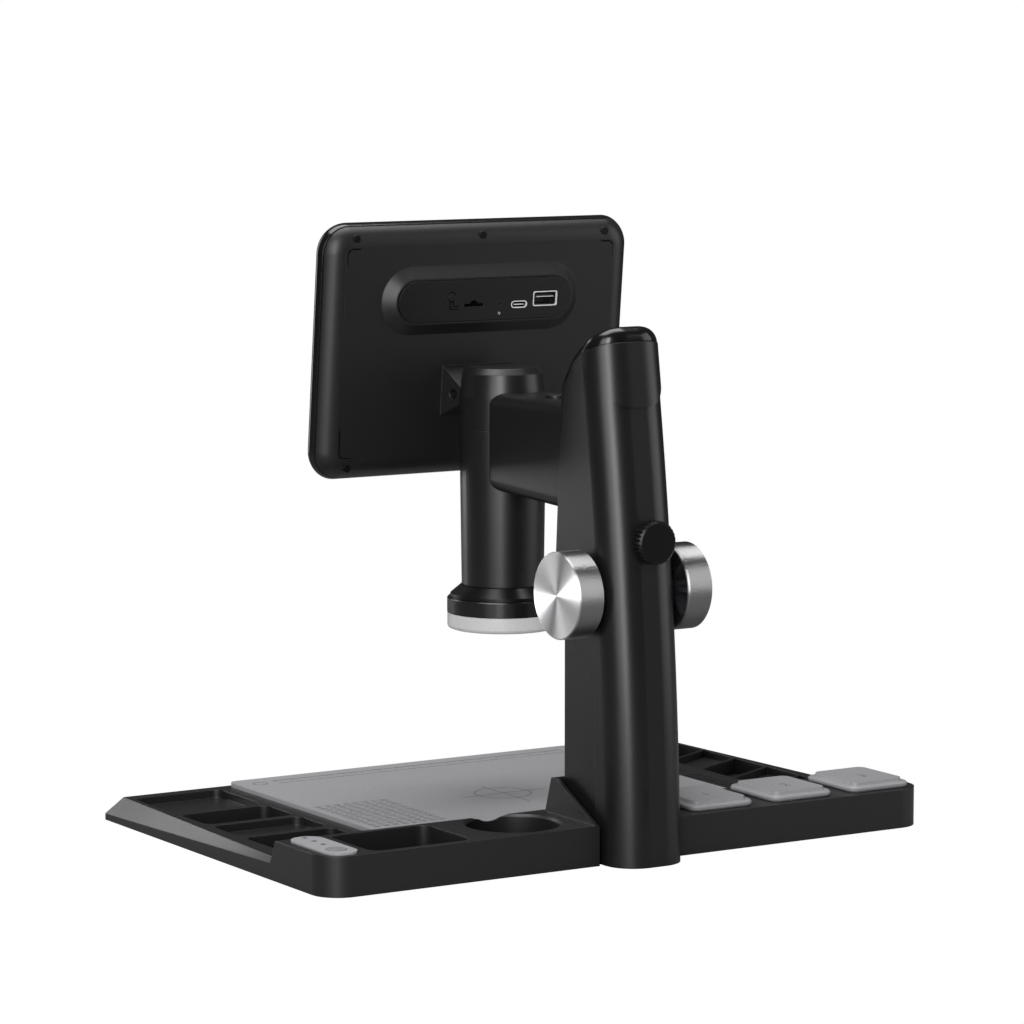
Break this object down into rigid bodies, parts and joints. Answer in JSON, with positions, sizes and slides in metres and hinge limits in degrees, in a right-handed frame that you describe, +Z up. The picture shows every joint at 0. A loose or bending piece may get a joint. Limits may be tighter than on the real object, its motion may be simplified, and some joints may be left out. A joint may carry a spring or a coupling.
{
  "type": "digital microscope",
  "caption": "Bench microscope with a tilting screen and lit optical head on a rack-driven arm, on a leaning column over a wide base with trays, mat and lidded lens boxes.",
  "frame": {"origin": "point of the table right under the optical axis", "axes": "+Z up, the user at -Y, +X to the user's right"},
  "size_m": [0.336, 0.2402, 0.2977],
  "materials": {
    "base_plastic": "fine satin moulding",
    "column_paint": "satin powder coat",
    "mat_rubber": "soft silicone",
    "foot_rubber": "dull",
    "pad_plastic": "satin",
    "lid_plastic": "polished",
    "gloss_black": "polished",
    "aluminium": "turned",
    "black_metal": "black anodised",
    "steel": "ground",
    "brass": "machined",
    "white_plastic": "frosted",
    "lamp_plastic": "clear",
    "board": "coated board",
    "glass": "coated lens",
    "panel_glass": "glossy panel",
    "cell_sleeve": "sleeve"
  },
  "bodies": {
    "stand": {"base_tray": "base_plastic", "bottom_plate": "base_plastic", "rubber_feet": "foot_rubber", "work_mat": "mat_rubber", "control_pad": "pad_plastic", "pad_lights": "lamp_plastic", "spare_lens_1": "black_metal", "spare_lens_2": "black_metal", "spare_lens_3": "black_metal", "column_shell": "column_paint", "column_cap": "base_plastic", "guide_rods": "steel", "foot_bracket": "steel", "shaft_bushes": "black_metal", "lock_bush": "brass"},
    "pad_button": {"pad_button": "pad_plastic"},
    "lens_lid_1": {"lens_lid_1": "lid_plastic"},
    "lens_lid_2": {"lens_lid_2": "lid_plastic"},
    "lens_lid_3": {"lens_lid_3": "lid_plastic"},
    "focus_knobs": {"focus_pinion": "brass", "focus_shaft": "steel", "knob_cup_left": "aluminium", "knob_cup_right": "aluminium", "knob_hub_left": "base_plastic", "knob_hub_right": "base_plastic"},
    "lock_screw": {"lock_knob": "black_metal", "lock_screw": "steel"},
    "brake_shoe": {"brake_shoe": "brass"},
    "focus": {"carriage": "black_metal", "focus_rack": "brass", "arm_shell": "column_paint", "barrel_tube": "column_paint", "barrel_head": "base_plastic", "barrel_collar": "black_metal", "light_ring_housing": "gloss_black", "light_diffuser": "white_plastic", "led_board": "board", "objective_cell": "black_metal", "objective_glass": "glass", "camera_board": "board"},
    "light_button": {"light_button": "base_plastic"},
    "screen": {"rear_cover": "base_plastic", "front_bezel": "gloss_black", "display_panel": "panel_glass", "main_board": "board", "battery": "cell_sleeve", "port_panel": "gloss_black", "usb_a_socket": "steel", "usb_c_socket": "steel", "card_socket": "base_plastic", "status_light": "lamp_plastic", "cover_screws": "black_metal", "hinge_pin": "steel", "friction_washers": "steel"},
    "reset_key": {"reset_key": "gloss_black"},
    "front_key_1": {"front_key_1": "base_plastic"},
    "front_key_2": {"front_key_2": "base_plastic"},
    "front_key_3": {"front_key_3": "base_plastic"},
    "front_key_4": {"front_key_4": "base_plastic"}
  },
  "joints": [
    {"name": "focus_slide", "type": "slide", "parent": "stand", "child": "focus", "axis": [0, 0, 1], "range_m": [-0.055, 0.005]},
    {"name": "focus_turn", "type": "hinge", "parent": "stand", "child": "focus_knobs", "pos_m": [0, 0.1079, 0.1283], "axis": [1, 0, 0], "range_deg": [-37, 395]},
    {"name": "lock_turn", "type": "hinge", "parent": "stand", "child": "lock_screw", "pos_m": [0, 0.13, 0.1537], "axis": [0, -1, 0], "range_deg": [0, 180]},
    {"name": "brake_press", "type": "slide", "parent": "stand", "child": "brake_shoe", "axis": [0, -1, 0], "range_m": [0, 0.0006]},
    {"name": "light_button_press", "type": "slide", "parent": "focus", "child": "light_button", "axis": [0, 0, -1], "range_m": [0, 0.0008], "stiffness_N_per_m": 400},
    {"name": "screen_tilt", "type": "hinge", "parent": "focus", "child": "screen", "pos_m": [0, -0.01756, 0.21184], "axis": [-1, 0, 0], "range_deg": [-8, 25]},
    {"name": "reset_press", "type": "slide", "parent": "screen", "child": "reset_key", "axis": [0, -0.9949, 0.1011], "range_m": [0, 0.0004], "stiffness_N_per_m": 400},
    {"name": "pad_button_press", "type": "slide", "parent": "stand", "child": "pad_button", "axis": [0, 0, -1], "range_m": [0, 0.0008], "stiffness_N_per_m": 400},
    {"name": "lens_lid_1_lift", "type": "slide", "parent": "stand", "child": "lens_lid_1", "axis": [0, 0, 1], "range_m": [0, 0.03]},
    {"name": "lens_lid_2_lift", "type": "slide", "parent": "stand", "child": "lens_lid_2", "axis": [0, 0, 1], "range_m": [0, 0.03]},
    {"name": "lens_lid_3_lift", "type": "slide", "parent": "stand", "child": "lens_lid_3", "axis": [0, 0, 1], "range_m": [0, 0.03]},
    {"name": "front_key_1_press", "type": "slide", "parent": "screen", "child": "front_key_1", "axis": [0, 0.9949, -0.1011], "range_m": [0, 0.0005], "stiffness_N_per_m": 400},
    {"name": "front_key_2_press", "type": "slide", "parent": "screen", "child": "front_key_2", "axis": [0, 0.9949, -0.1011], "range_m": [0, 0.0005], "stiffness_N_per_m": 400},
    {"name": "front_key_3_press", "type": "slide", "parent": "screen", "child": "front_key_3", "axis": [0, 0.9949, -0.1011], "range_m": [0, 0.0005], "stiffness_N_per_m": 400},
    {"name": "front_key_4_press", "type": "slide", "parent": "screen", "child": "front_key_4", "axis": [0, 0.9949, -0.1011], "range_m": [0, 0.0005], "stiffness_N_per_m": 400}
  ],
  "couplings": [
    {"joint": "focus_turn", "follows": "focus_slide", "rad_per_m": -125},
    {"joint": "brake_press", "follows": "lock_turn", "m_per_rad": 0.00019}
  ]
}
